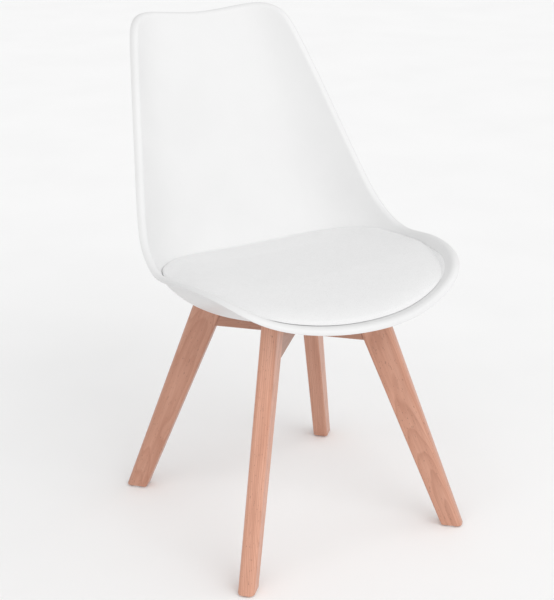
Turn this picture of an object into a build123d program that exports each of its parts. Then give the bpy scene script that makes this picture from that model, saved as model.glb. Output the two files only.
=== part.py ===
"""Dining chair: a moulded bucket shell with a seat pad, on four splayed beech legs.

Frame: +Z up, the sitter faces -Y, origin on the floor under the middle of the overall
length and width.  All sizes in millimetres.
"""
import math
import os

from build123d import *

# --------------------------------------------------------------------------
# Driving dimensions
# --------------------------------------------------------------------------

# Floor contact
glide_height = 3.0
glide_diameter = 22.0

# Under-frame: two crossbars half-lapped at 90 degrees, a leg on each end.
# Radial distances are measured from the crossing, along the bar.
crossing_y = -27.7
bar_bottom = 327.0
bar_top = 369.0
bar_thickness = 23.0
leg_thickness = 27.0
leg_outer_radius = 9.0
leg_inner_radius = 3.5
# The legs rise past the bars, and their tops slope to follow the shell.
leg_top_outer = 396.0
leg_top_inner = 376.5
front_foot = (267.0, 302.0)
front_head = (125.5, 178.0)
rear_foot = (260.5, 297.5)
rear_head = (127.5, 179.5)

# Shell.  The middle line of the seating face, front lip to top edge, as (y from the
# crossing, z).
spine_points = [
    (-240.0, 428.0),
    (-150.0, 405.5),
    (-50.5, 379.5),
    (41.0, 380.5),
    (100.0, 412.0),
    (139.5, 454.0),
    (167.5, 505.0),
    (206.0, 594.0),
    (255.0, 704.0),
    (301.5, 814.5),
]
# Half outline of the unrolled shell, as (half width, distance along the spine).
outline_points = [
    (0.0, -11.0),
    (62.0, -5.0),
    (117.5, 11.5),
    (160.0, 26.5),
    (187.5, 40.0),
    (206.5, 61.0),
    (218.5, 88.0),
    (228.0, 127.0),
    (234.0, 180.0),
    (236.0, 240.0),
    (235.5, 300.0),
    (232.5, 350.0),
    (227.5, 409.0),
    (214.5, 486.0),
    (197.5, 564.0),
    (181.0, 639.0),
    (166.0, 706.0),
    (156.0, 748.0),
    (148.0, 775.0),
    (136.5, 795.0),
    (111.0, 810.0),
    (60.0, 811.5),
    (0.0, 808.5),
]
# Half width at which the side wall reaches its full height, along the spine.
wall_reach = [(0, 236.0), (340, 237.0), (400, 232.5), (500, 216.0), (600, 194.5), (700, 171.5), (800, 148.0)]
# Height of the side wall above the middle line, along the spine.
wall_height = [
    (0, 98.5),
    (30, 111.0),
    (70, 115.5),
    (150, 116.5),
    (230, 112.0),
    (300, 107.0),
    (350, 103.0),
    (400, 94.5),
    (450, 86.0),
    (500, 79.5),
    (600, 69.5),
    (700, 59.5),
    (800, 44.5),
]
seat_bowl = (0.49, 6.7)
back_bowl = (0.50, 4.0)
bowl_change = (330.0, 530.0)
shell_wall = 4.5
shell_cut_inset = 3.0

# Fixing of the shell on the crossbars
boss_offset = 57.0
boss_diameter = 21.0
pad_diameter = 22.0
pad_thickness = 3.0
bolt_diameter = 6.0
bolt_clearance_diameter = 6.8
bolt_head_diameter = 10.0
bolt_head_height = 6.0
bolt_washer_diameter = 12.4
bolt_washer_thickness = 1.5
counterbore_diameter = 13.5
counterbore_depth = 8.2
insert_diameter = 8.6
insert_length = 8.2

# Dowels in the leg joints
dowel_diameter = 8.0
dowel_length = 44.0
dowel_levels = (341.0, 357.0)
joint_gap = 0.1

centre_screw_diameter = 5.0
centre_screw_length = 36.0
centre_head_diameter = 9.5
centre_head_height = 2.5
nail_diameter = 2.0
nail_length = 18.0
nail_head_diameter = 6.0

# Seat pad
pad_clearance = 1.6
pad_bottom = 401.0
pad_crown = 13.0
cover_thickness = 1.3
# Half outline of the pad on the unrolled shell, as (half width, distance along the spine).
pad_outline_points = [
    (0.0, 9.0),
    (60.0, 13.0),
    (112.0, 26.0),
    (150.0, 40.0),
    (178.0, 55.0),
    (196.0, 74.0),
    (207.0, 98.0),
    (215.0, 135.0),
    (221.0, 180.0),
    (224.0, 230.0),
    (223.0, 280.0),
    (213.0, 337.0),
    (197.0, 362.0),
    (177.0, 378.0),
    (148.0, 390.0),
    (100.0, 398.0),
    (0.0, 400.0),
]
cover_wrap = 18.0
board_size = (216.0, 166.0)
board_corner = 60.0
board_middle_y = crossing_y - 22.0
board_thickness = 8.0
tee_flange_diameter = 17.0
tee_flange_thickness = 1.2
tee_barrel_diameter = 6.6
tee_barrel_length = 7.0
screw_diameter = 5.0
screw_head_diameter = 9.0
screw_head_height = 3.0
staple_crown = 9.0
staple_leg = 6.0
staple_wire = 1.0
staple_inset = 9.0
staple_count = 28
board_screws = [
    (85.0, board_middle_y),
    (-85.0, board_middle_y),
    (0.0, board_middle_y - 58.0),
    (0.0, board_middle_y + 58.0),
]


# --------------------------------------------------------------------------
# Curve helpers
# --------------------------------------------------------------------------

def smooth_through(knots, values):
    """Natural cubic through the knots, straight beyond both ends."""
    count = len(knots)
    steps = [knots[i + 1] - knots[i] for i in range(count - 1)]
    slopes = [(values[i + 1] - values[i]) / steps[i] for i in range(count - 1)]
    upper = [0.0] * count
    bend = [0.0] * count
    for i in range(1, count - 1):
        pivot = 2.0 * (steps[i - 1] + steps[i]) - steps[i - 1] * upper[i - 1]
        upper[i] = steps[i] / pivot
        bend[i] = (6.0 * (slopes[i] - slopes[i - 1]) - steps[i - 1] * bend[i - 1]) / pivot
    for i in range(count - 2, 0, -1):
        bend[i] -= upper[i] * bend[i + 1]
    first = slopes[0] - steps[0] * (2.0 * bend[0] + bend[1]) / 6.0
    last = slopes[-1] + steps[-1] * (bend[-2] + 2.0 * bend[-1]) / 6.0

    def value(at):
        if at <= knots[0]:
            return values[0] + first * (at - knots[0])
        if at >= knots[-1]:
            return values[-1] + last * (at - knots[-1])
        i = max(k for k in range(count - 1) if knots[k] <= at)
        a = knots[i + 1] - at
        b = at - knots[i]
        h = steps[i]
        return (
            (bend[i] * a**3 + bend[i + 1] * b**3) / (6.0 * h)
            + (values[i] / h - bend[i] * h / 6.0) * a
            + (values[i + 1] / h - bend[i + 1] * h / 6.0) * b
        )

    return value


def running_length(points):
    """Chord length from the first point to each point."""
    total = [0.0]
    for before, after in zip(points, points[1:]):
        total.append(total[-1] + math.dist(before, after))
    return total


# The middle line, re-measured by its own length.
spine_knots = running_length(spine_points)
spine_y = smooth_through(spine_knots, [p[0] + crossing_y for p in spine_points])
spine_z = smooth_through(spine_knots, [p[1] for p in spine_points])
spine_steps = [spine_knots[-1] * i / 160 for i in range(161)]
spine_lengths = running_length([(spine_y(k), spine_z(k)) for k in spine_steps])
knot_at_length = smooth_through(spine_lengths, spine_steps)

reach_at = smooth_through([p[0] for p in wall_reach], [p[1] for p in wall_reach])
height_at = smooth_through([p[0] for p in wall_height], [p[1] for p in wall_height])


def seating_point(x, s):
    """Point of the seating face at half width x and distance s along the middle line."""
    knot = knot_at_length(s)
    dy = spine_y(knot + 0.5) - spine_y(knot - 0.5)
    dz = spine_z(knot + 0.5) - spine_z(knot - 0.5)
    size = math.hypot(dy, dz)
    blend = min(max((s - bowl_change[0]) / (bowl_change[1] - bowl_change[0]), 0.0), 1.0)
    blend = blend * blend * (3.0 - 2.0 * blend)
    share = seat_bowl[0] * (1 - blend) + back_bowl[0] * blend
    power = seat_bowl[1] * (1 - blend) + back_bowl[1] * blend
    across = abs(x) / reach_at(s)
    lift = height_at(s) * (share * across**2 + (1 - share) * across**power)
    return Vector(x, spine_y(knot) - lift * dz / size, spine_z(knot) + lift * dy / size)


def seating_normal(x, s):
    """Unit normal of the seating face, pointing at the sitter."""
    across = seating_point(x + 0.5, s) - seating_point(x - 0.5, s)
    along = seating_point(x, s + 0.5) - seating_point(x, s - 0.5)
    return across.cross(along).normalized()


# --------------------------------------------------------------------------
# Outline of the unrolled shell and the patch that fills it
# --------------------------------------------------------------------------

with BuildLine(mode=Mode.PRIVATE) as half_outline:
    Spline(outline_points, tangents=[(1, 0), (-1, 0)])
half_edge = half_outline.edges()[0]


def outline_frame(at, inset):
    """Outline point moved inwards by the inset, and its outward direction, for 0 <= at <= 2."""
    side = 1 if at <= 1 else -1
    near = at if at <= 1 else 2 - at
    point = half_edge.position_at(near)
    along = half_edge.tangent_at(near)
    outward = Vector(side * along.Y, -along.X, 0)
    return Vector(side * point.X, point.Y, 0) - outward * inset, outward


def outline_share(index):
    """Length share of the half outline at one of its defining points."""
    return half_edge.param_at_point(Vector(*outline_points[index], 0))



# The cutting direction lies between the normals of the seat and of the back.
cut_direction = Vector(0, -0.54, 0.84).normalized()
cut_plane = Plane(origin=(0, 0, 500), x_dir=(1, 0, 0), z_dir=cut_direction)


def offset_face(height):
    """Seating face raised by a height (lowered when negative), wider and longer than the shell."""
    rows = []
    for j in range(65):
        s = -32.0 + 13.5 * j
        row = []
        for i in range(41):
            x = (i / 20 - 1) * (reach_at(s) + 9.0)
            row.append(seating_point(x, s) + seating_normal(x, s) * height)
        rows.append(row)
    return Face.make_surface_from_array_of_points(rows, tol=0.01)


def shell_cut_points(inset):
    """Outline on the seating face, inset and seen along the cutting direction."""
    points = []
    for i in range(72):
        flat, _ = outline_frame(i / 36, inset)
        local = cut_plane.to_local_coords(seating_point(flat.X, flat.Y))
        points.append((local.X, local.Y))
    return points


def s_at(x, y):
    """Distance along the middle line of the seating point at plan position x, y."""
    low, high = -30.0, 500.0
    for _ in range(40):
        middle = (low + high) / 2
        if seating_point(x, middle).Y < y:
            low = middle
        else:
            high = middle
    return low


# --------------------------------------------------------------------------
# Seat shell with four fixing bosses
# --------------------------------------------------------------------------

boss_spots = [(sx * boss_offset, crossing_y + sy * boss_offset) for sx in (-1, 1) for sy in (-1, 1)]
boss_foot = bar_top + pad_thickness

with BuildPart() as seat_shell:
    # Everything above the underside of the wall, inside the outline
    with BuildSketch(cut_plane):
        with BuildLine():
            Spline(shell_cut_points(shell_cut_inset), periodic=True)
        make_face()
    extrude(amount=600, both=True)
    extrude(offset_face(-shell_wall), amount=700, dir=cut_direction, mode=Mode.INTERSECT)
    # The bosses, still too tall
    with BuildSketch(Plane.XY.offset(boss_foot)):
        with Locations(boss_spots):
            Circle(boss_diameter / 2)
    extrude(amount=30)
    # Everything above the seating face is hollow
    extrude(offset_face(0.0), amount=700, dir=cut_direction, mode=Mode.SUBTRACT)
    with BuildSketch(Plane.XY.offset(boss_foot)):
        with Locations(boss_spots):
            Circle(insert_diameter / 2 + 0.1)
    extrude(amount=insert_length + 0.3, mode=Mode.SUBTRACT)
    with BuildSketch(Plane.XY.offset(boss_foot - 10)):
        with Locations(board_screws):
            Circle(screw_diameter / 2 + 0.3)
    extrude(amount=40, mode=Mode.SUBTRACT)

with BuildPart() as threaded_inserts:
    with BuildSketch(Plane.XY.offset(boss_foot + 0.1)):
        with Locations(boss_spots):
            Circle(insert_diameter / 2)
            Circle(bolt_diameter / 2 + 0.15, mode=Mode.SUBTRACT)
    extrude(amount=insert_length)


# --------------------------------------------------------------------------
# Seat pad: cover, foam, board, tee nuts, staples, screws
# --------------------------------------------------------------------------

def pad_height(x, y):
    """Height of the top of the pad over the plan."""
    across = x / 225.0
    along = (y - crossing_y + 52.0) / 186.0
    level = 436.0 + 0.035 * (y - crossing_y) + 32.0 * across**2
    return level + pad_crown * (1 - min(across**2 + along**2, 1.6))


def pad_top_face(drop):
    """Top face of the pad, lowered by a drop, wider than the pad."""
    rows = []
    for j in range(33):
        y = crossing_y - 262.0 + 13.5 * j
        rows.append([Vector(x, y, pad_height(x, y) - drop) for x in range(-250, 251, 12)])
    return Face.make_surface_from_array_of_points(rows, tol=0.01)


def pad_cut_points(inset):
    """Pad outline on the seating face, inset towards its middle, seen along the cutting direction."""
    half = []
    for x, along in pad_outline_points:
        shrink = 1 - inset / math.hypot(x, along - 200.0)
        on_face = seating_point(x * shrink, 200.0 + (along - 200.0) * shrink)
        local = cut_plane.to_local_coords(on_face)
        half.append((local.X, local.Y))
    return half + [(-x, y) for x, y in reversed(half[1:-1])]


def pad_block(skin):
    """Everything inside the pad, a skin thickness in from its outer faces."""
    with BuildPart(mode=Mode.PRIVATE) as block:
        with BuildSketch(cut_plane):
            with BuildLine():
                Spline(pad_cut_points(skin), periodic=True)
            make_face()
        extrude(amount=250, both=True)
        extrude(offset_face(pad_clearance + skin), amount=300, dir=cut_direction, mode=Mode.INTERSECT)
        extrude(pad_top_face(skin), amount=150, dir=(0, 0, -1), mode=Mode.INTERSECT)
        with BuildSketch(Plane.XY.offset(pad_bottom + skin)):
            Rectangle(900, 900)
        extrude(amount=150, mode=Mode.INTERSECT)
    return block.part.solids().sort_by(SortBy.VOLUME)[-1]


board_bottom = pad_bottom + cover_thickness + 0.1
board_top = board_bottom + board_thickness
inside_cover = pad_block(cover_thickness)

with BuildPart(mode=Mode.PRIVATE) as staple:
    with BuildSketch(Plane.XZ):
        with BuildLine():
            half_crown = staple_crown / 2
            Polyline(
                (-half_crown, 0),
                (half_crown, 0),
                (half_crown, staple_leg),
                (half_crown - staple_wire, staple_leg),
                (half_crown - staple_wire, staple_wire),
                (staple_wire - half_crown, staple_wire),
                (staple_wire - half_crown, staple_leg),
                (-half_crown, staple_leg),
                close=True,
            )
        make_face()
    extrude(amount=staple_wire / 2, both=True)

with BuildPart(mode=Mode.PRIVATE) as staple_holes:
    with BuildSketch():
        with GridLocations(staple_crown - staple_wire, 1, 2, 1):
            Rectangle(staple_wire + 0.2, staple_wire + 0.2)
    extrude(amount=staple_leg + 0.2)

with BuildSketch(mode=Mode.PRIVATE) as staple_ring:
    RectangleRounded(
        board_size[0] - 2 * staple_inset,
        board_size[1] - 2 * staple_inset,
        board_corner - staple_inset,
    )
staple_path = staple_ring.wires()[0]
staple_spots = []
for i in range(staple_count):
    spot = staple_path.position_at(i / staple_count)
    heading = staple_path.tangent_at(i / staple_count)
    turn = math.degrees(math.atan2(heading.Y, heading.X))
    foot = (spot.X, spot.Y + board_middle_y, pad_bottom - staple_wire - 0.1)
    staple_spots.append(Location(foot, (0, 0, turn)))

with BuildPart() as cushion_cover:
    add(pad_block(0.0))
    add(inside_cover, mode=Mode.SUBTRACT)
    with BuildSketch(Plane.XY.offset(pad_bottom - 5)):
        with Locations((0, board_middle_y)):
            RectangleRounded(
                board_size[0] - 2 * cover_wrap,
                board_size[1] - 2 * cover_wrap,
                board_corner - cover_wrap,
            )
    extrude(amount=8, mode=Mode.SUBTRACT)
    with Locations(staple_spots):
        add(staple_holes.part, mode=Mode.SUBTRACT)

with BuildPart() as cushion_board:
    with BuildSketch(Plane.XY.offset(board_bottom)):
        with Locations((0, board_middle_y)):
            RectangleRounded(board_size[0], board_size[1], board_corner)
        with Locations(board_screws):
            Circle(tee_barrel_diameter / 2 + 0.2, mode=Mode.SUBTRACT)
    extrude(amount=board_thickness)
    with Locations(staple_spots):
        add(staple_holes.part, mode=Mode.SUBTRACT)

with BuildPart() as cushion_staples:
    with Locations(staple_spots):
        add(staple.part)

with BuildPart() as cushion_foam:
    add(inside_cover)
    with BuildSketch(Plane.XY.offset(board_bottom - 2)):
        with Locations((0, board_middle_y)):
            RectangleRounded(board_size[0] + 0.4, board_size[1] + 0.4, board_corner)
    extrude(amount=board_thickness + 2.1, mode=Mode.SUBTRACT)
    with BuildSketch(Plane.XY.offset(board_top - 1)):
        with Locations(board_screws):
            Circle(tee_flange_diameter / 2 + 0.2)
    extrude(amount=tee_flange_thickness + 1.3, mode=Mode.SUBTRACT)

with BuildPart() as cushion_tee_nuts:
    with BuildSketch(Plane.XY.offset(board_top + 0.1)):
        with Locations(board_screws):
            Circle(tee_flange_diameter / 2)
    extrude(amount=tee_flange_thickness)
    with BuildSketch(Plane.XY.offset(board_top + 0.1)):
        with Locations(board_screws):
            Circle(tee_barrel_diameter / 2)
    extrude(amount=-tee_barrel_length)
    with BuildSketch(Plane.XY.offset(board_bottom - 5)):
        with Locations(board_screws):
            Circle(screw_diameter / 2 + 0.15)
    extrude(amount=30, mode=Mode.SUBTRACT)

with BuildPart() as cushion_screws:
    for x, y in board_screws:
        seat_under = seating_point(x, s_at(x, y)).Z - shell_wall - 2.4
        with BuildSketch(Plane.XY.offset(seat_under - screw_head_height)):
            with Locations((x, y)):
                Circle(screw_head_diameter / 2)
        extrude(amount=screw_head_height)
        with BuildSketch(Plane.XY.offset(seat_under)):
            with Locations((x, y)):
                Circle(screw_diameter / 2)
        extrude(amount=board_top - seat_under)


# --------------------------------------------------------------------------
# Under-frame.  Left and right are the sitter's, who faces -Y.
# --------------------------------------------------------------------------

def bar_plane(angle):
    """Upright plane through the crossing: x runs along the bar, y upwards."""
    turn = math.radians(angle)
    return Plane(
        origin=(0, crossing_y, 0),
        x_dir=(math.cos(turn), math.sin(turn), 0),
        z_dir=(math.sin(turn), -math.cos(turn), 0),
    )


def along_bar(angle, distance):
    """Plan position at a distance from the crossing along a bar."""
    turn = math.radians(angle)
    return distance * math.cos(turn), crossing_y + distance * math.sin(turn)


def leg_line(foot, head, level):
    """Radial position of a leg face at a level, from its floor and bar-underside positions."""
    return head + (foot - head) * (bar_bottom - level) / (bar_bottom - glide_height)


def leg_inner_edge(edge, angle, foot, head):
    """Whether an edge of a leg is one of the two long ones that face the crossing."""
    turn = math.radians(angle)
    middle = edge.center()
    reach = middle.X * math.cos(turn) + (middle.Y - crossing_y) * math.sin(turn)
    return edge.length > 300 and abs(reach - leg_line(foot[0], head[0], middle.Z)) < 1


def make_leg(angle, foot, head):
    """Tapered splayed leg with its dowel holes and the hole for the glide nail."""
    with BuildPart(mode=Mode.PRIVATE) as leg:
        with BuildSketch(bar_plane(angle)):
            with BuildLine():
                Polyline(
                    (leg_line(foot[0], head[0], glide_height), glide_height),
                    (leg_line(foot[1], head[1], glide_height), glide_height),
                    (leg_line(foot[1], head[1], leg_top_outer), leg_top_outer),
                    (leg_line(foot[0], head[0], leg_top_inner), leg_top_inner),
                    close=True,
                )
            make_face()
        extrude(amount=leg_thickness / 2, both=True)
        fillet(leg.edges().group_by(SortBy.LENGTH)[-1], radius=leg_outer_radius)
        fillet(leg.edges().filter_by(lambda e: leg_inner_edge(e, angle, foot, head)), radius=leg_inner_radius)
        for level in dowel_levels:
            x, y = along_bar(angle, leg_line(foot[0], head[0], level))
            turn = math.radians(angle)
            away = Plane(origin=(x, y, level), z_dir=(math.cos(turn), math.sin(turn), 0))
            with BuildSketch(away):
                Circle(dowel_diameter / 2 + 0.1)
            extrude(amount=dowel_length / 2 + 1, both=True, mode=Mode.SUBTRACT)
        x, y = along_bar(angle, (foot[0] + foot[1]) / 2)
        with BuildSketch(Plane.XY.offset(glide_height - 1)):
            with Locations((x, y)):
                Circle(nail_diameter / 2 + 0.1)
        extrude(amount=nail_length + 1, mode=Mode.SUBTRACT)
    return leg.part


def make_bar(angle, notch_low, notch_high):
    """Crossbar between two opposite legs, notched for the half-lap and drilled for the fixings."""
    front = angle if math.sin(math.radians(angle)) < 0 else angle + 180
    ends = []
    for direction, foot, head in ((1, front_foot, front_head), (-1, rear_foot, rear_head)):
        for level in (bar_bottom, bar_top):
            ends.append((direction * (leg_line(foot[0], head[0], level) - joint_gap), level))
    with BuildPart(mode=Mode.PRIVATE) as bar:
        with BuildSketch(bar_plane(front)):
            with BuildLine():
                Polyline(ends[0], ends[1], ends[3], ends[2], close=True)
            make_face()
        extrude(amount=bar_thickness / 2, both=True)
        fillet(bar.edges().filter_by(lambda e: e.length > 200 and e.center().Z < bar_bottom + 1), radius=2)
        with BuildSketch(bar_plane(front)):
            with Locations((0, (notch_low + notch_high) / 2)):
                Rectangle(bar_thickness + 0.3, notch_high - notch_low)
        extrude(amount=bar_thickness, both=True, mode=Mode.SUBTRACT)
        spots = [along_bar(front, d) for d in (boss_radius, -boss_radius)]
        with BuildSketch(Plane.XY.offset(bar_bottom - 1)):
            with Locations(spots):
                Circle(bolt_clearance_diameter / 2)
        extrude(amount=60, mode=Mode.SUBTRACT)
        with BuildSketch(Plane.XY.offset(bar_bottom - 1)):
            with Locations(spots):
                Circle(counterbore_diameter / 2)
        extrude(amount=counterbore_depth + 1, mode=Mode.SUBTRACT)
        for direction, foot, head in ((1, front_foot, front_head), (-1, rear_foot, rear_head)):
            for level in dowel_levels:
                x, y = along_bar(front, direction * leg_line(foot[0], head[0], level))
                turn = math.radians(front)
                with BuildSketch(Plane(origin=(x, y, level), z_dir=(math.cos(turn), math.sin(turn), 0))):
                    Circle(dowel_diameter / 2 + 0.1)
                extrude(amount=dowel_length / 2 + 1, both=True, mode=Mode.SUBTRACT)
        with BuildSketch(Plane.XY.offset(bar_bottom - 1)):
            with Locations((0, crossing_y)):
                Circle(centre_screw_diameter / 2 + 0.1)
        extrude(amount=centre_screw_length + 2, mode=Mode.SUBTRACT)
        with BuildSketch(Plane.XY.offset(bar_bottom - 1)):
            with Locations((0, crossing_y)):
                Circle(centre_head_diameter / 2 + 0.4)
        extrude(amount=1 + centre_head_height + 0.6, mode=Mode.SUBTRACT)
    return bar.part


boss_radius = boss_offset * math.sqrt(2)
lap_level = (bar_bottom + bar_top) / 2
front_right = 225.0
front_left = 315.0
rear_left = 45.0
rear_right = 135.0

pieces = {
    "seat_shell": seat_shell.part,
    "threaded_inserts": threaded_inserts.part,
    "cushion_cover": cushion_cover.part,
    "cushion_foam": cushion_foam.part,
    "cushion_board": cushion_board.part,
    "cushion_tee_nuts": cushion_tee_nuts.part,
    "cushion_screws": cushion_screws.part,
    "cushion_staples": cushion_staples.part,
    "lower_crossbar": make_bar(front_right, lap_level - 0.1, bar_top + 1),
    "upper_crossbar": make_bar(front_left, bar_bottom - 1, lap_level + 0.1),
    "front_right_leg": make_leg(front_right, front_foot, front_head),
    "front_left_leg": make_leg(front_left, front_foot, front_head),
    "rear_left_leg": make_leg(rear_left, rear_foot, rear_head),
    "rear_right_leg": make_leg(rear_right, rear_foot, rear_head),
}

corners = [
    (front_right, front_foot, front_head),
    (front_left, front_foot, front_head),
    (rear_left, rear_foot, rear_head),
    (rear_right, rear_foot, rear_head),
]

with BuildPart() as leg_dowels:
    for angle, foot, head in corners:
        turn = math.radians(angle)
        for level in dowel_levels:
            x, y = along_bar(angle, leg_line(foot[0], head[0], level))
            with BuildSketch(Plane(origin=(x, y, level), z_dir=(math.cos(turn), math.sin(turn), 0))):
                Circle(dowel_diameter / 2)
            extrude(amount=dowel_length / 2, both=True)

with BuildPart() as centre_screw:
    with BuildSketch(Plane.XY.offset(bar_bottom + 0.3)):
        with Locations((0, crossing_y)):
            Circle(centre_head_diameter / 2)
    extrude(amount=centre_head_height)
    with BuildSketch(Plane.XY.offset(bar_bottom + 0.3 + centre_head_height)):
        with Locations((0, crossing_y)):
            Circle(centre_screw_diameter / 2)
    extrude(amount=centre_screw_length - centre_head_height - 1)

washer_foot = bar_bottom + counterbore_depth - bolt_washer_thickness - 0.1

with BuildPart() as shell_bolts:
    with BuildSketch(Plane.XY.offset(washer_foot - bolt_head_height - 0.1)):
        with Locations(boss_spots):
            Circle(bolt_head_diameter / 2)
    extrude(amount=bolt_head_height)
    with BuildSketch(Plane.XY.offset(washer_foot - bolt_head_height - 0.1)):
        with Locations(boss_spots):
            RegularPolygon(2.9, 6)
    extrude(amount=3.2, mode=Mode.SUBTRACT)
    with BuildSketch(Plane.XY.offset(washer_foot - 0.1)):
        with Locations(boss_spots):
            Circle(bolt_diameter / 2)
    extrude(amount=boss_foot + insert_length - washer_foot)

with BuildPart() as shell_bolt_washers:
    with BuildSketch(Plane.XY.offset(washer_foot)):
        with Locations(boss_spots):
            Circle(bolt_washer_diameter / 2)
            Circle(bolt_diameter / 2 + 0.2, mode=Mode.SUBTRACT)
    extrude(amount=bolt_washer_thickness)

with BuildPart() as rubber_pads:
    with BuildSketch(Plane.XY.offset(bar_top + 0.05)):
        with Locations(boss_spots):
            Circle(pad_diameter / 2)
            Circle(bolt_clearance_diameter / 2, mode=Mode.SUBTRACT)
    extrude(amount=pad_thickness - 0.1)

foot_spots = [along_bar(angle, (foot[0] + foot[1]) / 2) for angle, foot, head in corners]

with BuildPart() as foot_glides:
    with BuildSketch(Plane.XY):
        with Locations(foot_spots):
            Circle(glide_diameter / 2)
    extrude(amount=glide_height)
    chamfer(foot_glides.edges().group_by(Axis.Z)[0], length=0.8)
    with BuildSketch(Plane.XY.offset(-1)):
        with Locations(foot_spots):
            Circle(nail_diameter / 2 + 0.1)
    extrude(amount=10, mode=Mode.SUBTRACT)
    with BuildSketch(Plane.XY.offset(-1)):
        with Locations(foot_spots):
            Circle(nail_head_diameter / 2 + 0.2)
    extrude(amount=2.0, mode=Mode.SUBTRACT)

with BuildPart() as glide_nails:
    with BuildSketch(Plane.XY.offset(0.4)):
        with Locations(foot_spots):
            Circle(nail_head_diameter / 2)
    extrude(amount=0.6)
    with BuildSketch(Plane.XY.offset(1.0)):
        with Locations(foot_spots):
            Circle(nail_diameter / 2)
    extrude(amount=nail_length)

pieces["leg_dowels"] = leg_dowels.part
pieces["centre_screw"] = centre_screw.part
pieces["shell_bolts"] = shell_bolts.part
pieces["shell_bolt_washers"] = shell_bolt_washers.part
pieces["rubber_pads"] = rubber_pads.part
pieces["foot_glides"] = foot_glides.part
pieces["glide_nails"] = glide_nails.part

os.makedirs("parts", exist_ok=True)
for name, piece in pieces.items():
    piece.label = name
    export_step(piece, "parts/" + name + ".step")
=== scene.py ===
"""Looks of the dining chair: moulded plastic bucket, leatherette seat pad, beech under-frame."""

import math

import bmesh
import bpy
import numpy as np
from mathutils import Matrix, Vector


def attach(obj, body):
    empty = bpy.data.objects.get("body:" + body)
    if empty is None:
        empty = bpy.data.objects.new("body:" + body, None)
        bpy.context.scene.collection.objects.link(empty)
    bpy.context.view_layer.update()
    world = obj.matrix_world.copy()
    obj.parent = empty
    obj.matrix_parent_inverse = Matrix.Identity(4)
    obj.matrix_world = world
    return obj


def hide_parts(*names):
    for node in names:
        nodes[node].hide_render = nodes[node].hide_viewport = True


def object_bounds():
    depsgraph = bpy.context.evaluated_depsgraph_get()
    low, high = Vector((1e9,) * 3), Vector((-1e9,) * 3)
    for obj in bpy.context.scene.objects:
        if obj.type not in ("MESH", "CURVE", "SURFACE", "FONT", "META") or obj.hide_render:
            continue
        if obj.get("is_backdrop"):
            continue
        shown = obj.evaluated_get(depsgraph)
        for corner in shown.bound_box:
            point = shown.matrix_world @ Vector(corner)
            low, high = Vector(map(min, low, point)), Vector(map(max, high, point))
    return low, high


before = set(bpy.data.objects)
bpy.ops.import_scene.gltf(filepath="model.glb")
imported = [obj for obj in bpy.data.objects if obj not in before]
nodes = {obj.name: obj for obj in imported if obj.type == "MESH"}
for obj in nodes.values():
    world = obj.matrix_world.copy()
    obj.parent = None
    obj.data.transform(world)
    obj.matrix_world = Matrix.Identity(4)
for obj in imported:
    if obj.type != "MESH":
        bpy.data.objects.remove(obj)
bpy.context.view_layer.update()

# --------------------------------------------------------------------------
# Sizes of the chair, in millimetres (x across, y towards the back, z up)
# --------------------------------------------------------------------------
crossing_y = -27.7
bar_bottom, bar_top = 327.0, 369.0
glide_height = 3.0
front_foot, front_head = (267.0, 302.0), (125.5, 178.0)
rear_foot, rear_head = (260.5, 297.5), (127.5, 179.5)
boss_offset, boss_radius, boss_foot, boss_flare = 57.0, 10.5, 372.0, 5

# Middle line of the seating face, front lip to top edge, as (y from the crossing, z)
spine_points = [(-240, 428), (-150, 405.5), (-50.5, 379.5), (41, 380.5), (100, 412), (139.5, 454),
                (167.5, 505), (206, 594), (255, 704), (301.5, 814.5)]
# Half outline of the unrolled shell, as (half width, distance along the middle line)
outline_points = [(0, -11), (62, -5), (117.5, 11.5), (160, 26.5), (187.5, 40), (206.5, 61), (218.5, 88),
                  (228, 127), (234, 180), (236, 240), (235.5, 300), (232.5, 350), (227.5, 409),
                  (214.5, 486), (197.5, 564), (181, 639), (166, 706), (156, 748), (148, 775),
                  (136.5, 795), (111, 810), (60, 811.5), (0, 808.5)]
wall_reach = [(0, 236), (340, 237), (400, 232.5), (500, 216), (600, 194.5), (700, 171.5), (800, 148)]
wall_height = [(0, 98.5), (30, 111), (70, 115.5), (150, 116.5), (230, 112), (300, 107), (350, 103),
               (400, 94.5), (450, 86), (500, 79.5), (600, 69.5), (700, 59.5), (800, 44.5)]
seat_bowl, back_bowl, bowl_change = (0.49, 6.7), (0.50, 4.0), (330.0, 530.0)
wall, rim_radius, rim_drop = 4.5, 9.0, 3.0

# Half outline of the seat pad on the unrolled shell
pad_outline_points = [(0, 9), (60, 13), (112, 26), (150, 40), (178, 55), (196, 74), (207, 98), (215, 135),
                      (221, 180), (224, 230), (223, 280), (213, 337), (197, 362), (177, 378),
                      (148, 390), (100, 398), (0, 400)]
pad_crown, pad_bulge, pad_edge_radius = 13.0, 9.0, 6.0
pad_bottom, pad_gap, pad_step = 401.0, 1.6, 3.0
pad_inset, pad_seam_gap = 1.5, 0.3
pad_half_width, pad_half_depth, pad_middle_y = 225, 186, -52
puff_limit, held_band, cloth_frames = 3.0, 12.0, 20

# Mesh density: stations along half an outline, rings from the middle to the edge
shell_stations, shell_rings, roll_steps = 170, 72, 14
pad_stations, pad_top_rings, pad_under_rings = 120, 60, 24
spine_samples, outline_samples = 161, 3001


# --------------------------------------------------------------------------
# The seating face
# --------------------------------------------------------------------------

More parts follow.
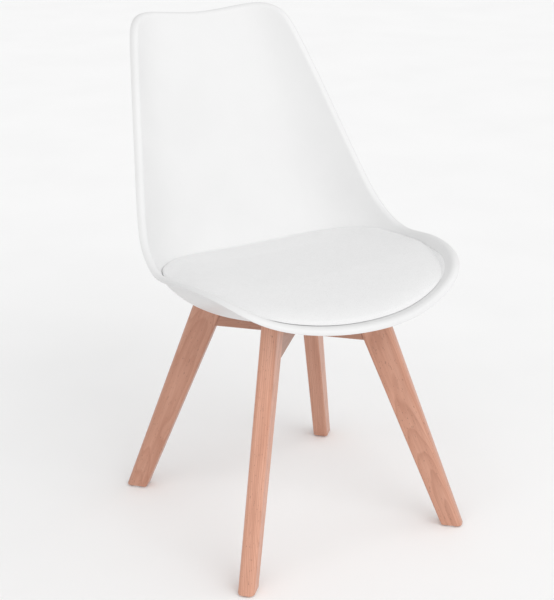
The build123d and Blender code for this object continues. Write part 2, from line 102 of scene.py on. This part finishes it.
def smooth_through(knots, values):
    """Natural cubic through the knots, straight beyond both ends."""
    knots, values = np.array(knots, float), np.array(values, float)
    step = np.diff(knots)
    last = len(knots) - 1
    system, load = np.eye(last + 1), np.zeros(last + 1)
    for i in range(1, last):
        system[i, i - 1 : i + 2] = step[i - 1], 2 * (step[i - 1] + step[i]), step[i]
        load[i] = 6 * ((values[i + 1] - values[i]) / step[i] - (values[i] - values[i - 1]) / step[i - 1])
    bend = np.linalg.solve(system, load)
    start = (values[1] - values[0]) / step[0] - step[0] * bend[1] / 6
    end = (values[-1] - values[-2]) / step[-1] + step[-1] * bend[-2] / 6

    def value(at):
        at = np.asarray(at, float)
        held = np.clip(at, knots[0], knots[-1])
        i = np.clip(np.searchsorted(knots, held, side="right") - 1, 0, last - 1)
        a, b, h = knots[i + 1] - held, held - knots[i], step[i]
        inside = (bend[i] * a**3 + bend[i + 1] * b**3) / (6 * h)
        inside = inside + (values[i] / h - bend[i] * h / 6) * a
        inside = inside + (values[i + 1] / h - bend[i + 1] * h / 6) * b
        return inside + start * np.minimum(at - knots[0], 0) + end * np.maximum(at - knots[-1], 0)

    return value


def running_length(points):
    """Chord length from the first point to each point."""
    return np.r_[0, np.cumsum(np.linalg.norm(np.diff(np.array(points, float), axis=0), axis=1))]


spine_knots = running_length(spine_points)
spine_y = smooth_through(spine_knots, [y + crossing_y for y, z in spine_points])
spine_z = smooth_through(spine_knots, [z for y, z in spine_points])
spine_steps = np.linspace(0, spine_knots[-1], spine_samples)
spine_track = np.c_[spine_y(spine_steps), spine_z(spine_steps)]
knot_at_length = smooth_through(running_length(spine_track), spine_steps)
reach_at = smooth_through(*zip(*wall_reach))
height_at = smooth_through(*zip(*wall_height))


def seating_point(flat):
    """Points of the seating face for an array of (half width, distance along the middle line)."""
    x, s = flat[..., 0], flat[..., 1]
    knot = knot_at_length(s)
    dy, dz = spine_y(knot + 0.5) - spine_y(knot - 0.5), spine_z(knot + 0.5) - spine_z(knot - 0.5)
    size = np.hypot(dy, dz)
    blend = np.clip((s - bowl_change[0]) / (bowl_change[1] - bowl_change[0]), 0, 1)
    blend = blend * blend * (3 - 2 * blend)
    share = seat_bowl[0] * (1 - blend) + back_bowl[0] * blend
    power = seat_bowl[1] * (1 - blend) + back_bowl[1] * blend
    across = np.abs(x) / reach_at(s)
    lift = height_at(s) * (share * across**2 + (1 - share) * across**power)
    return np.stack([x, spine_y(knot) - lift * dz / size, spine_z(knot) + lift * dy / size], -1)


def unit(vectors):
    return vectors / np.linalg.norm(vectors, axis=-1, keepdims=True)


def seating_normal(flat):
    """Unit normals of the seating face, pointing at the sitter."""
    across = seating_point(flat + [0.5, 0]) - seating_point(flat - [0.5, 0])
    along = seating_point(flat + [0, 0.5]) - seating_point(flat - [0, 0.5])
    return unit(np.cross(across, along))


def closed_outline(points, stations):
    """Even stations round the closed outline given by its half, and the outward directions."""
    half = [(x, s) for x, s in points]
    before = [(-x, s) for x, s in half[3:0:-1]]
    after = [(-x, s) for x, s in half[-2:-5:-1]]
    whole = np.array(before + half + after, float)
    knots = np.r_[0, np.cumsum(np.sqrt(np.linalg.norm(np.diff(whole, axis=0), axis=1)))]
    fx, fs = smooth_through(knots, whole[:, 0]), smooth_through(knots, whole[:, 1])
    fine = np.linspace(knots[3], knots[-4], outline_samples)
    track = np.c_[fx(fine), fs(fine)]
    length = running_length(track)
    at = np.interp(np.linspace(0, length[-1], stations + 1), length, fine)
    right = np.c_[fx(at), fs(at)]
    heading = unit(np.c_[fx(at + 0.01) - fx(at - 0.01), fs(at + 0.01) - fs(at - 0.01)])
    outward = np.c_[heading[:, 1], -heading[:, 0]]
    flip = np.array([-1.0, 1.0])
    return np.r_[right, right[-2:0:-1] * flip], np.r_[outward, outward[-2:0:-1] * flip]


def loop_mesh(name, sections):
    """Closed mesh through sections that each hold one ring of points, in millimetres."""
    rows = np.array(sections)
    count, around = rows.shape[:2]
    faces = []
    for j in range(count - 1):
        for i in range(around):
            k = (i + 1) % around
            faces.append((j * around + i, j * around + k, (j + 1) * around + k, (j + 1) * around + i))
    mesh = bpy.data.meshes.new(name)
    mesh.from_pydata((rows.reshape(-1, 3) * 0.001).tolist(), [], faces)
    work = bmesh.new()
    work.from_mesh(mesh)
    bmesh.ops.remove_doubles(work, verts=work.verts, dist=2e-5)
    bmesh.ops.recalc_face_normals(work, faces=work.faces)
    work.to_mesh(mesh)
    work.free()
    mesh.shade_smooth()
    made = bpy.data.objects.new(name, mesh)
    bpy.context.scene.collection.objects.link(made)
    return made


# --------------------------------------------------------------------------
# Seat shell with its rolled rim
# --------------------------------------------------------------------------

def make_shell():
    """Double-curved wall with its edge rolled outwards and a short lip below the roll."""
    edge, outward = closed_outline(outline_points, shell_stations)
    foot = edge - outward * rim_radius
    # The rings start from a stretch of the middle line, so that the faces stay even on seat and back.
    centre = np.c_[np.zeros(len(foot)), 210 + (foot[:, 1] + 2) * 0.49]
    rings = [centre + (foot - centre) * (k / shell_rings) for k in range(shell_rings + 1)]
    inner = [seating_point(r) for r in rings]
    normals = [seating_normal(r) for r in rings]
    base, up = inner[-1], normals[-1]
    out = seating_point(foot + outward) - base
    out = unit(out - (out * up).sum(-1, keepdims=True) * up)
    turns = np.radians(np.linspace(0, 90, roll_steps + 1))
    roll = [base + rim_radius * (out * math.sin(a) - up * (1 - math.cos(a))) for a in turns[1:]]
    end = roll[-1]
    lip = [end - up * d for d in (rim_drop - 0.9, rim_drop - 0.45)]
    hem = [end - up * (rim_drop - 0.12) - out * 0.2, end - up * rim_drop - out * 0.8]
    hem += [end - up * rim_drop - out * d for d in (wall / 2, wall - 0.8)]
    back = [end - up * (rim_drop - 0.12) - out * (wall - 0.2), end - up * (rim_drop - 0.6) - out * wall]
    small = rim_radius - wall
    under = base - up * wall
    curl = [under + small * (out * math.sin(a) - up * (1 - math.cos(a))) for a in turns[::-1]]
    outer = [p - n * wall for p, n in zip(inner[::-1], normals[::-1])]
    return loop_mesh("shell_visual", inner + roll + lip + hem + back + curl + outer[1:])


def make_bosses():
    """Moulded bosses under the shell, flared where they join it, with an open screw socket."""
    made = []
    for sx in (-1, 1):
        for sy in (-1, 1):
            x, y = sx * boss_offset, crossing_y + sy * boss_offset
            s = np.linspace(100, 400, 301)
            track = seating_point(np.c_[np.full(301, x), s])
            top = float(np.interp(y, track[:, 1], track[:, 2])) - wall + 1.5
            profile = [(4.6, boss_foot + 7), (4.6, boss_foot + 0.4), (5.0, boss_foot),
                       (boss_radius - 0.5, boss_foot), (boss_radius, boss_foot + 0.5)]
            rise = top - boss_foot
            profile += [(boss_radius + boss_flare * k * k, boss_foot + rise * (0.35 + 0.65 * k))
                        for k in (0.0, 0.5, 0.8, 1.0)]
            turn = np.linspace(0, 2 * math.pi, 49)[:-1]
            rings = [np.c_[x + r * np.cos(turn), y + r * np.sin(turn), np.full(48, z)] for r, z in profile]
            made.append(loop_mesh(f"boss_{len(made)}", rings))
    return made


shell = make_shell()
bosses = make_bosses()

# --------------------------------------------------------------------------
# Seat pad
# --------------------------------------------------------------------------

def pad_height(x, y):
    """Height of the top of the pad over the plan."""
    across, along = x / pad_half_width, (y - crossing_y - pad_middle_y) / pad_half_depth
    level = 436 + 0.035 * (y - crossing_y) + 32 * across**2
    return level + pad_crown * (1 - np.minimum(across**2 + along**2, 1.6))


def make_pad():
    """Pad that fills the bowl: a crowned top rolled over at its edge, an underside along the bowl."""
    edge, outward = closed_outline(pad_outline_points, pad_stations)
    touch = edge - outward * pad_inset
    rim = seating_point(touch) + seating_normal(touch) * pad_seam_gap
    middle = np.c_[np.zeros(len(rim)), crossing_y + (rim[:, 1] - crossing_y) * 0.45 - 20]
    proud = np.maximum(pad_height(rim[:, 0], rim[:, 1]) - rim[:, 2] - pad_step, 0)
    top = []
    for k in range(pad_top_rings + 1):
        share = 1 - (1 - k / pad_top_rings) ** 1.5
        spot = middle + (rim[:, :2] - middle) * share
        gap = np.linalg.norm(rim[:, :2] - spot, axis=1)
        rise = (1 - np.clip(1 - gap / pad_edge_radius, 0, 1) ** 2) ** 0.7
        front = np.clip((crossing_y + 60 - spot[:, 1]) / 150, 0, 1)
        level = pad_height(spot[:, 0], spot[:, 1]) + pad_bulge * front * (1 - np.exp(-gap / 17))
        level -= proud * np.exp(-((gap / 32) ** 2))
        top.append(np.c_[spot, rim[:, 2] + (level - rim[:, 2]) * rise])
    under = []
    hub = np.array([0.0, 200.0])
    for k in range(pad_under_rings, -1, -1):
        flat = hub + (touch - hub) * (k / pad_under_rings)
        clear = 0.5 + (pad_gap - 0.5) * min(1, (pad_under_rings - k) / 4)
        low = seating_point(flat) + seating_normal(flat) * clear
        low[:, 2] = np.maximum(low[:, 2], pad_bottom)
        under.append(low)
    return loop_mesh("seat_pad_visual", top + under[1:]), rim


pad, pad_seam = make_pad()


def puff(obj):
    """Foam pressing the cover up: a short cloth run with its edge and underside held."""
    mesh = obj.data
    rest = np.zeros(len(mesh.vertices) * 3)
    mesh.vertices.foreach_get("co", rest)
    rest = rest.reshape(-1, 3)
    normals = np.array([v.normal[:] for v in mesh.vertices])
    seam = pad_seam * 0.001
    edge_gap = [float(np.min(np.linalg.norm(seam - point, axis=1))) for point in rest]
    held = obj.vertex_groups.new(name="held")
    for i, n in enumerate(normals):
        at_edge = max(0.0, 1 - edge_gap[i] / (held_band * 0.001))
        held.add([i], 1.0 if n[2] < 0.15 else at_edge, "REPLACE")
    cloth = obj.modifiers.new("cloth", "CLOTH")
    cloth.settings.vertex_group_mass = "held"
    cloth.settings.use_pressure = True
    cloth.settings.uniform_pressure_force = 4.0
    cloth.settings.effector_weights.gravity = 0.0
    cloth.settings.tension_stiffness = 60
    cloth.settings.compression_stiffness = 60
    cloth.settings.bending_stiffness = 4
    cloth.settings.quality = 5
    cloth.collision_settings.use_collision = False
    cloth.point_cache.frame_start, cloth.point_cache.frame_end = 1, cloth_frames
    for frame_number in range(1, cloth_frames + 1):
        bpy.context.scene.frame_set(frame_number)
    ready = obj.evaluated_get(bpy.context.evaluated_depsgraph_get()).data
    moved = np.zeros(len(ready.vertices) * 3)
    ready.vertices.foreach_get("co", moved)
    step = moved.reshape(-1, 3) - rest
    size = np.linalg.norm(step, axis=1, keepdims=True)
    step *= np.minimum(1, puff_limit * 0.001 / np.maximum(size, 1e-9))
    obj.modifiers.remove(cloth)
    bpy.context.scene.frame_set(1)
    mesh.vertices.foreach_set("co", (rest + step).ravel())
    mesh.update()


puff(pad)
finer = pad.modifiers.new("finer", "SUBSURF")
finer.levels = finer.render_levels = 1
bpy.context.view_layer.objects.active = pad
bpy.ops.object.modifier_apply(modifier="finer")
pad.data.shade_smooth()

# --------------------------------------------------------------------------
# Materials
# --------------------------------------------------------------------------

class Surface:
    """A node material with short calls for the nodes it is made of."""

    def __init__(self, name):
        self.material = bpy.data.materials.new(name)
        self.material.use_nodes = True
        self.tree = self.material.node_tree
        self.skin = self.tree.nodes["Principled BSDF"]
        self.where = self.add("ShaderNodeTexCoord").outputs["Object"]

    def add(self, kind, **settings):
        node = self.tree.nodes.new(kind)
        for key, value in settings.items():
            setattr(node, key, value)
        return node

    def link(self, source, target):
        self.tree.links.new(source, target)

    def placed(self, location=(0, 0, 0), rotation=(0, 0, 0), scale=(1, 1, 1), source=None):
        node = self.add("ShaderNodeMapping")
        node.inputs["Location"].default_value = location
        node.inputs["Rotation"].default_value = rotation
        node.inputs["Scale"].default_value = scale
        self.link(source or self.where, node.inputs["Vector"])
        return node.outputs["Vector"]

    def noise(self, scale, detail=3.0, rough=0.5, source=None, distort=0.0):
        node = self.add("ShaderNodeTexNoise")
        node.inputs["Scale"].default_value = scale
        node.inputs["Detail"].default_value = detail
        node.inputs["Roughness"].default_value = rough
        node.inputs["Distortion"].default_value = distort
        self.link(source or self.where, node.inputs["Vector"])
        return node.outputs["Fac"]

    def cells(self, scale, feature="F1", source=None):
        node = self.add("ShaderNodeTexVoronoi", feature=feature)
        node.inputs["Scale"].default_value = scale
        self.link(source or self.where, node.inputs["Vector"])
        return node.outputs["Distance"]

    def ramp(self, source, *stops):
        node = self.add("ShaderNodeValToRGB")
        band = node.color_ramp
        while len(band.elements) < len(stops):
            band.elements.new(0.5)
        for element, (at, colour) in zip(band.elements, stops):
            element.position = at
            element.color = (*colour, 1) if hasattr(colour, "__len__") else (colour, colour, colour, 1)
        self.link(source, node.inputs["Fac"])
        return node.outputs["Color"]

    def maths(self, operation, a, b=None):
        node = self.add("ShaderNodeMath", operation=operation)
        for socket, value in zip(node.inputs, (a, b)):
            if value is None:
                continue
            if isinstance(value, (int, float)):
                socket.default_value = value
            else:
                self.link(value, socket)
        return node.outputs[0]

    def mix(self, factor, a, b, blend="MIX"):
        node = self.add("ShaderNodeMix", data_type="RGBA", blend_type=blend)
        for socket, value in ((node.inputs[0], factor), (node.inputs[6], a), (node.inputs[7], b)):
            if isinstance(value, (int, float)):
                socket.default_value = value
            elif isinstance(value, tuple):
                socket.default_value = (*value, 1)
            else:
                self.link(value, socket)
        return node.outputs[2]

    def bump(self, height, strength, distance, after=None):
        node = self.add("ShaderNodeBump")
        node.inputs["Strength"].default_value = strength
        node.inputs["Distance"].default_value = distance
        self.link(height, node.inputs["Height"])
        if after is not None:
            self.link(after, node.inputs["Normal"])
        return node.outputs["Normal"]

    def finish(self, colour=None, roughness=None, normal=None, **fixed):
        for key, value in (("Base Color", colour), ("Roughness", roughness), ("Normal", normal)):
            if value is None:
                continue
            if isinstance(value, (int, float)):
                self.skin.inputs[key].default_value = value
            else:
                self.link(value, self.skin.inputs[key])
        for key, value in fixed.items():
            self.skin.inputs[key.replace("_", " ")].default_value = value
        return self.material


def plastic():
    """Satin moulded plastic with a faint orange peel."""
    s = Surface("satin_white_plastic")
    cloudy = s.noise(9.0, 2.0)
    fine = s.noise(900.0, 2.0, 0.6)
    orange_peel = s.noise(160.0, 2.0, 0.4)
    colour = s.ramp(cloudy, (0.3, (0.735, 0.735, 0.735)), (0.7, (0.755, 0.755, 0.755)))
    rough = s.ramp(fine, (0.3, 0.36), (0.7, 0.44))
    normal = s.bump(fine, 0.06, 0.0004, s.bump(orange_peel, 0.05, 0.0006))
    return s.finish(colour, rough, normal)


def leatherette():
    """Embossed cover: fine pebbles, with rougher creases between them darkened by painted shade."""
    s = Surface("white_leatherette")
    blotch = s.noise(60.0, 2.0)
    pebble = s.cells(620.0, "DISTANCE_TO_EDGE")
    small = s.cells(1400.0, "DISTANCE_TO_EDGE")
    creases = s.ramp(pebble, (0.0, 0.0), (0.12, 1.0))
    fine = s.ramp(small, (0.0, 0.3), (0.15, 1.0))
    # Painted shade: the creases between the pebbles are darkened towards 0.70.
    colour = s.mix(s.maths("MULTIPLY", creases, 0.9), (0.70, 0.70, 0.70), (0.83, 0.83, 0.832))
    colour = s.mix(0.25, colour, s.ramp(blotch, (0.3, 0.79), (0.7, 0.83)))
    rough = s.ramp(creases, (0.0, 0.62), (1.0, 0.46))
    normal = s.bump(creases, 0.25, 0.0003, s.bump(fine, 0.12, 0.0002))
    return s.finish(colour, rough, normal)


# Linear colours of beech, and how its growth rings lie
beech_shades = (0.67, 0.365, 0.262), (0.61, 0.313, 0.216), (0.54, 0.262, 0.176)
late_wood, fibre_shade, fleck_shade = (0.38, 0.155, 0.092), (0.30, 0.125, 0.07), (0.16, 0.065, 0.04)
rings_per_metre, heart_distance = 290.0, 0.052


def beech(name, origin, along, across, seed, tone=1.0):
    """Beech with its grain along a direction; rings centred beside the broad face; tone scales all its
    colours as painted light and shade.
    """
    s = Surface(name)
    x_axis = Vector(along).normalized()
    y_axis = Vector(across).normalized()
    z_axis = x_axis.cross(y_axis)
    turn = Matrix((x_axis, y_axis, z_axis))
    local = s.placed(-(turn @ Vector(origin)), turn.to_euler("XYZ"))
    slow = s.placed((seed * 3.1, seed * 1.7, seed), scale=(3.4, 16.0, 16.0), source=local)
    sway = s.noise(1.0, 2.0, source=slow)
    parts = s.add("ShaderNodeSeparateXYZ")
    s.link(local, parts.inputs[0])
    drift = s.maths("MULTIPLY", s.maths("SUBTRACT", sway, 0.5), 0.03)
    tilt = s.maths("MULTIPLY", parts.outputs["X"], 0.035)
    offset = s.maths("ADD", parts.outputs["Y"], heart_distance + 0.004 * seed)
    from_heart = s.maths("ADD", offset, s.maths("ADD", drift, tilt))
    sideways = s.maths("ADD", parts.outputs["Z"], 0.004 * (seed % 3 - 1))
    squares = s.maths("MULTIPLY", from_heart, from_heart), s.maths("MULTIPLY", sideways, sideways)
    reach = s.maths("SQRT", s.maths("ADD", *squares))
    ring = s.maths("FRACT", s.maths("MULTIPLY", reach, rings_per_metre))
    late = s.ramp(ring, (0.0, 0.0), (0.62, 0.35), (0.9, 1.0), (1.0, 0.05))
    fibre = s.noise(1.0, 4.0, 0.65, source=s.placed(scale=(26.0, 1500.0, 1500.0), source=local))
    long_field = s.placed((seed, 0, 0), scale=(7.0, 130.0, 130.0), source=local)
    streak = s.noise(1.0, 3.0, 0.6, source=long_field)
    short_field = s.placed((0, seed, 0), scale=(190.0, 640.0, 640.0), source=local)
    fleck = s.ramp(s.noise(1.0, 1.0, 0.4, source=short_field), (0.70, 0.0), (0.75, 1.0))
    # tone brightens or darkens the whole piece: painted light and shade on the same beech.
    pale, middle, deep = [tuple(tone * part for part in shade) for shade in beech_shades]
    colour = s.ramp(streak, (0.25, deep), (0.5, middle), (0.75, pale))
    colour = s.mix(s.maths("MULTIPLY", late, 0.42), colour, late_wood)
    pores = s.maths("MULTIPLY", s.ramp(fibre, (0.35, 1.0), (0.6, 0.0)), 0.20)
    colour = s.mix(pores, colour, fibre_shade)
    colour = s.mix(s.maths("MULTIPLY", fleck, 0.55), colour, fleck_shade)
    rough = s.ramp(fibre, (0.3, 0.46), (0.7, 0.36))
    normal = s.bump(fibre, 0.10, 0.0002, s.bump(fleck, -0.12, 0.0002))
    return s.finish(colour, rough, normal, Coat_Weight=0.12, Coat_Roughness=0.3)


def metal(name, colour, rough):
    """Brushed metal."""
    s = Surface(name)
    brushed = s.noise(1.0, 3.0, source=s.placed(scale=(400.0, 400.0, 3000.0)))
    tone = s.ramp(brushed, (0.3, tuple(c * 0.85 for c in colour)), (0.7, colour))
    worn = s.ramp(brushed, (0.3, rough), (0.7, rough + 0.15))
    return s.finish(tone, worn, s.bump(brushed, 0.1, 0.0001), Metallic=1.0)


def dull(name, low, high, rough, scale=500.0):
    """Plain grained material for rubber, plywood, foam and glides."""
    s = Surface(name)
    grain = s.noise(scale, 3.0)
    return s.finish(s.ramp(grain, (0.3, low), (0.7, high)), s.ramp(grain, (0.3, rough), (0.7, rough + 0.12)),
                    s.bump(grain, 0.15, 0.0003))


def put_on(obj, material):
    obj.data.materials.clear()
    obj.data.materials.append(material)


white = plastic()
put_on(shell, white)
for boss in bosses:
    put_on(boss, white)
put_on(pad, leatherette())

# Painted shade: the crossbars' beech is darkened to stand in for the shadow under the seat.
bar_painted_shade = 0.74
# Angle round the crossing, foot and head as distances from it, and a tone that paints light and shade on
# each leg: lighter where better lit, darker where shaded
corners = {
    "front_right_leg": (225, front_foot, front_head, 1.12),
    "front_left_leg": (315, front_foot, front_head, 1.0),
    "rear_left_leg": (45, rear_foot, rear_head, 0.96),
    "rear_right_leg": (135, rear_foot, rear_head, 0.90),
}
for seed, (name, (angle, foot, head, tone)) in enumerate(corners.items()):
    turn = math.radians(angle)
    radial = Vector((math.cos(turn), math.sin(turn), 0))
    low = radial * (sum(foot) / 2) + Vector((0, crossing_y, glide_height))
    high = radial * (sum(head) / 2) + Vector((0, crossing_y, bar_bottom))
    side = Vector((-math.sin(turn), math.cos(turn), 0))
    put_on(nodes[name], beech(name + "_beech", low * 0.001, high - low, side, seed + 1, tone))
# Crossbars: their beech is darkened by the painted shade factor above.
for seed, (name, angle) in enumerate((("lower_crossbar", 225), ("upper_crossbar", 315))):
    turn = math.radians(angle)
    radial = Vector((math.cos(turn), math.sin(turn), 0))
    side = Vector((-math.sin(turn), math.cos(turn), 0))
    middle = Vector((0, crossing_y, (bar_bottom + bar_top) / 2)) * 0.001
    put_on(nodes[name], beech(name + "_beech", middle, radial, side, seed + 6, bar_painted_shade))
put_on(nodes["leg_dowels"], beech("dowel_beech", (0, 0, 0), (1, 1, 0), (0, 0, 1), 9))

zinc = metal("zinc_steel", (0.62, 0.63, 0.65), 0.28)
for name in ("cushion_tee_nuts", "cushion_screws", "cushion_staples", "centre_screw", "shell_bolts",
             "shell_bolt_washers", "glide_nails"):
    put_on(nodes[name], zinc)
put_on(nodes["threaded_inserts"], metal("insert_brass", (0.72, 0.52, 0.25), 0.3))
put_on(nodes["rubber_pads"], dull("black_rubber", (0.02, 0.02, 0.02), (0.045, 0.045, 0.045), 0.6))
put_on(nodes["foot_glides"], dull("glide_plastic", (0.70, 0.69, 0.67), (0.78, 0.77, 0.75), 0.4, 300.0))
put_on(nodes["cushion_board"], dull("plywood", (0.45, 0.30, 0.17), (0.62, 0.45, 0.28), 0.7, 120.0))
put_on(nodes["cushion_foam"], dull("foam", (0.75, 0.70, 0.50), (0.85, 0.80, 0.62), 0.9, 900.0))

# --------------------------------------------------------------------------
# Bodies
# --------------------------------------------------------------------------
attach(shell, "root")
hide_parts("seat_shell")
for boss in bosses:
    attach(boss, "root")
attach(pad, "root")
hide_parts("cushion_cover", "cushion_foam")

# --------------------------------------------------------------------------
# Floor, light and camera
# --------------------------------------------------------------------------

floor_half = 40.0
world_strength = 0.66
camera_turn, camera_rise = math.radians(-30.839), math.radians(21.222)
camera_lens, camera_shift = 79.73, 0.02


def plain_floor():
    mesh = bpy.data.meshes.new("floor")
    corner_points = [(-1, -1), (1, -1), (1, 1), (-1, 1)]
    mesh.from_pydata([(x * floor_half, y * floor_half, 0) for x, y in corner_points], [], [(0, 1, 2, 3)])
    made = bpy.data.objects.new("floor", mesh)
    bpy.context.scene.collection.objects.link(made)
    s = Surface("pale_floor")
    soft = s.noise(3.0, 2.0)
    put_on(made, s.finish(s.ramp(soft, (0.3, (0.93, 0.93, 0.93)), (0.7, (0.95, 0.95, 0.95))), 0.9))
    return made


def soft_light(name, azimuth, elevation, softness, power):
    """A far, wide light; azimuth 0 stands in front of the chair and 90 on its +X side."""
    data = bpy.data.lights.new(name, "SUN")
    data.angle = math.radians(softness)
    data.energy = power
    made = bpy.data.objects.new(name, data)
    a, e = math.radians(azimuth), math.radians(elevation)
    towards = Vector((math.sin(a) * math.cos(e), -math.cos(a) * math.cos(e), math.sin(e)))
    made.rotation_mode = "QUATERNION"
    made.rotation_quaternion = (-towards).to_track_quat("-Z", "Y")
    bpy.context.scene.collection.objects.link(made)


floor = plain_floor()
floor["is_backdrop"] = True
soft_light("key", 5, 36, 45, 0.84)
soft_light("right", 62, 32, 60, 0.56)
soft_light("left", -62, 36, 60, 0.50)

bpy.context.scene.view_settings.view_transform = "Standard"
world = bpy.data.worlds.new("studio")
bpy.context.scene.world = world
world.use_nodes = True
world.node_tree.nodes["Background"].inputs["Color"].default_value = (1, 1, 1, 1)
world.node_tree.nodes["Background"].inputs["Strength"].default_value = world_strength

flat = math.cos(camera_rise)
back = Vector((math.sin(camera_turn) * flat, -math.cos(camera_turn) * flat, math.sin(camera_rise)))
camera = bpy.data.objects.new("camera", bpy.data.cameras.new("camera"))
camera.location = (-1.0855, -1.7344 + crossing_y * 0.001, 1.1760)
camera.rotation_mode = "QUATERNION"
camera.rotation_quaternion = (-back).to_track_quat("-Z", "Y")
camera.data.sensor_width = 36
camera.data.lens = camera_lens
camera.data.shift_x = camera_shift
bpy.context.scene.collection.objects.link(camera)
bpy.context.scene.camera = camera

low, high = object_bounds()
